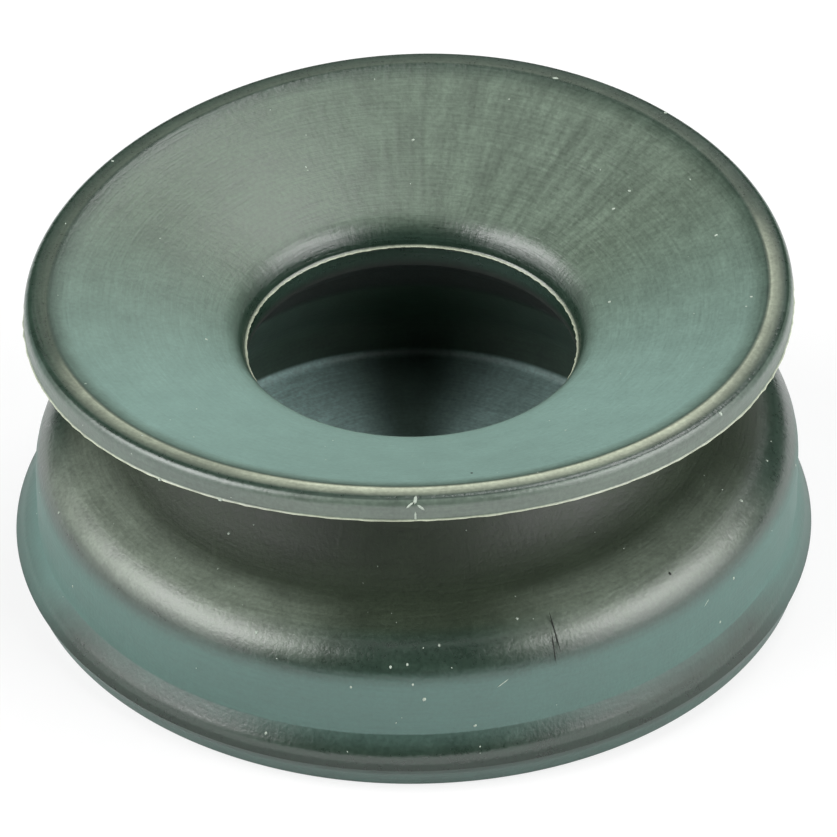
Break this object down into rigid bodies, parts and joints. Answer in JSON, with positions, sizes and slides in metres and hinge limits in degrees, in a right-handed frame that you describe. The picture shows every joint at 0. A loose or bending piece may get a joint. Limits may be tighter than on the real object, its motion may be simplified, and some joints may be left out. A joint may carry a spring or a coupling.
{
  "type": "vent seal",
  "caption": "Moulded rubber vent seal with a flared lip, a dished entry to a round throat, a concave neck groove and a hollow lower flange.",
  "frame": {"origin": "centre of the flange's foot, on the surface that the seal stands on", "axes": "+Z along the throat's axis, from the foot to the flared lip"},
  "size_m": [0.0318, 0.0318, 0.0134],
  "materials": {
    "rubber": "satin moulded black rubber with thin flash at the mould lines"
  },
  "bodies": {
    "root": {"vent_seal": "rubber"}
  },
  "joints": []
}
